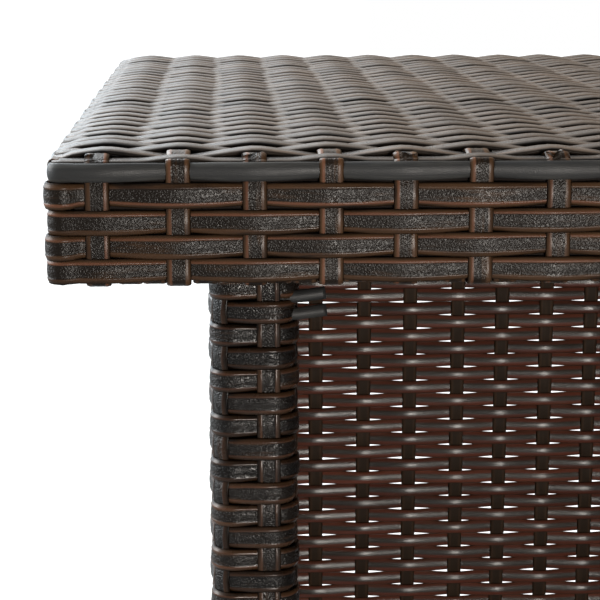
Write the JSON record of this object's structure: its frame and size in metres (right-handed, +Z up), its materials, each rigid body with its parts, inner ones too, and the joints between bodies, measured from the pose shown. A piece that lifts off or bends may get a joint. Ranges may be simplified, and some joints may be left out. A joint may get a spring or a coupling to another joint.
{
  "type": "wicker coffee table",
  "caption": "Rectangular outdoor coffee table of woven plastic strip on a steel frame, with wrapped legs, open-weave panels on the back and ends, an open front and levelling feet.",
  "frame": {"origin": "on the floor under the middle of the top", "axes": "+X along the table, -Y towards the open front, +Z up"},
  "size_m": [1, 0.5, 0.43],
  "materials": {
    "woven_strip": "flat extruded plastic strip with a leather-like emboss, black-brown with copper-brown edge stripes, satin",
    "panel_strip": "narrower embossed plastic strip, reddish dark brown, satin",
    "frame_steel": "powder-coated, fine texture, dark brown",
    "zinc_plated_steel": "bright zinc plating",
    "foot_plastic": "black moulded nylon, matt"
  },
  "bodies": {
    "table": {"top_rail_front": "frame_steel", "top_rail_back": "frame_steel", "top_rail_left": "frame_steel", "top_rail_right": "frame_steel", "top_crossbar_left": "frame_steel", "top_crossbar_centre": "frame_steel", "top_crossbar_right": "frame_steel", "leg_bar_left": "frame_steel", "leg_bar_right": "frame_steel", "top_weave": "woven_strip", "edge_weave_front": "woven_strip", "edge_weave_back": "woven_strip", "edge_weave_left": "woven_strip", "edge_weave_right": "woven_strip", "leg_tube_front_left": "frame_steel", "leg_weave_front_left": "woven_strip", "leg_bolt_front_left_a": "zinc_plated_steel", "leg_bolt_front_left_b": "zinc_plated_steel", "foot_insert_front_left": "foot_plastic", "leg_tube_front_right": "frame_steel", "leg_weave_front_right": "woven_strip", "leg_bolt_front_right_a": "zinc_plated_steel", "leg_bolt_front_right_b": "zinc_plated_steel", "foot_insert_front_right": "foot_plastic", "leg_tube_back_left": "frame_steel", "leg_weave_back_left": "woven_strip", "leg_bolt_back_left_a": "zinc_plated_steel", "leg_bolt_back_left_b": "zinc_plated_steel", "foot_insert_back_left": "foot_plastic", "leg_tube_back_right": "frame_steel", "leg_weave_back_right": "woven_strip", "leg_bolt_back_right_a": "zinc_plated_steel", "leg_bolt_back_right_b": "zinc_plated_steel", "foot_insert_back_right": "foot_plastic", "back_panel_top_rail": "frame_steel", "back_panel_bottom_rail": "frame_steel", "back_panel_weave": "panel_strip", "back_panel_screw_low_a": "zinc_plated_steel", "back_panel_screw_low_b": "zinc_plated_steel", "back_panel_screw_high_a": "zinc_plated_steel", "back_panel_screw_high_b": "zinc_plated_steel", "left_panel_top_rail": "frame_steel", "left_panel_bottom_rail": "frame_steel", "left_panel_weave": "panel_strip", "left_panel_screw_low_a": "zinc_plated_steel", "left_panel_screw_low_b": "zinc_plated_steel", "left_panel_screw_high_a": "zinc_plated_steel", "left_panel_screw_high_b": "zinc_plated_steel", "right_panel_top_rail": "frame_steel", "right_panel_bottom_rail": "frame_steel", "right_panel_weave": "panel_strip", "right_panel_screw_low_a": "zinc_plated_steel", "right_panel_screw_low_b": "zinc_plated_steel", "right_panel_screw_high_a": "zinc_plated_steel", "right_panel_screw_high_b": "zinc_plated_steel"},
    "foot_front_left": {"levelling_foot_front_left": "foot_plastic"},
    "foot_front_right": {"levelling_foot_front_right": "foot_plastic"},
    "foot_back_left": {"levelling_foot_back_left": "foot_plastic"},
    "foot_back_right": {"levelling_foot_back_right": "foot_plastic"}
  },
  "joints": [
    {"name": "foot_front_left_height", "type": "slide", "parent": "table", "child": "foot_front_left", "axis": [0, 0, -1], "range_m": [0, 0.01]},
    {"name": "foot_front_right_height", "type": "slide", "parent": "table", "child": "foot_front_right", "axis": [0, 0, -1], "range_m": [0, 0.01]},
    {"name": "foot_back_left_height", "type": "slide", "parent": "table", "child": "foot_back_left", "axis": [0, 0, -1], "range_m": [0, 0.01]},
    {"name": "foot_back_right_height", "type": "slide", "parent": "table", "child": "foot_back_right", "axis": [0, 0, -1], "range_m": [0, 0.01]}
  ]
}
